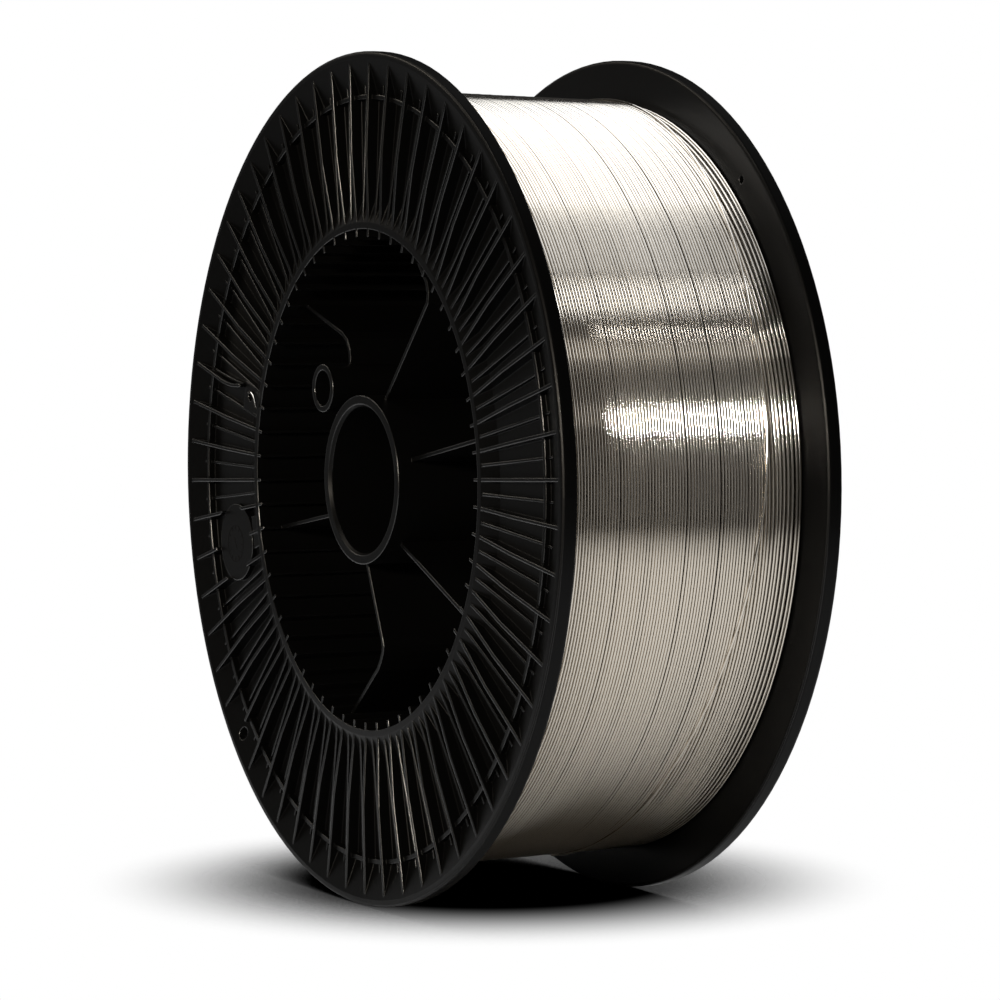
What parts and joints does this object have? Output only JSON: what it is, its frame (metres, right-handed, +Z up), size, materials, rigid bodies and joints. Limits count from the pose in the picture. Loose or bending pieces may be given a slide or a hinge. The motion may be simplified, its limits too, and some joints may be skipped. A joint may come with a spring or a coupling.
{
  "type": "welding wire spool",
  "caption": "Full spool of solid welding wire: ribbed one-piece plastic spool with spoked hub, arbor bore and driving hole.",
  "frame": {"origin": "centre of the arbor bore, midway between the two flanges", "axes": "Y along the spool axis, with -Y out of the flange seen in the picture; Z up and X to the right of that flange as the spool stands on its rims"},
  "size_m": [0.3, 0.1056, 0.3],
  "materials": {
    "spool_plastic": "black injection-moulded plastic, low gloss",
    "wire_steel": "bright drawn steel wire in layers"
  },
  "bodies": {
    "root": {"spool": "spool_plastic", "wire_winding": "wire_steel"}
  },
  "joints": []
}
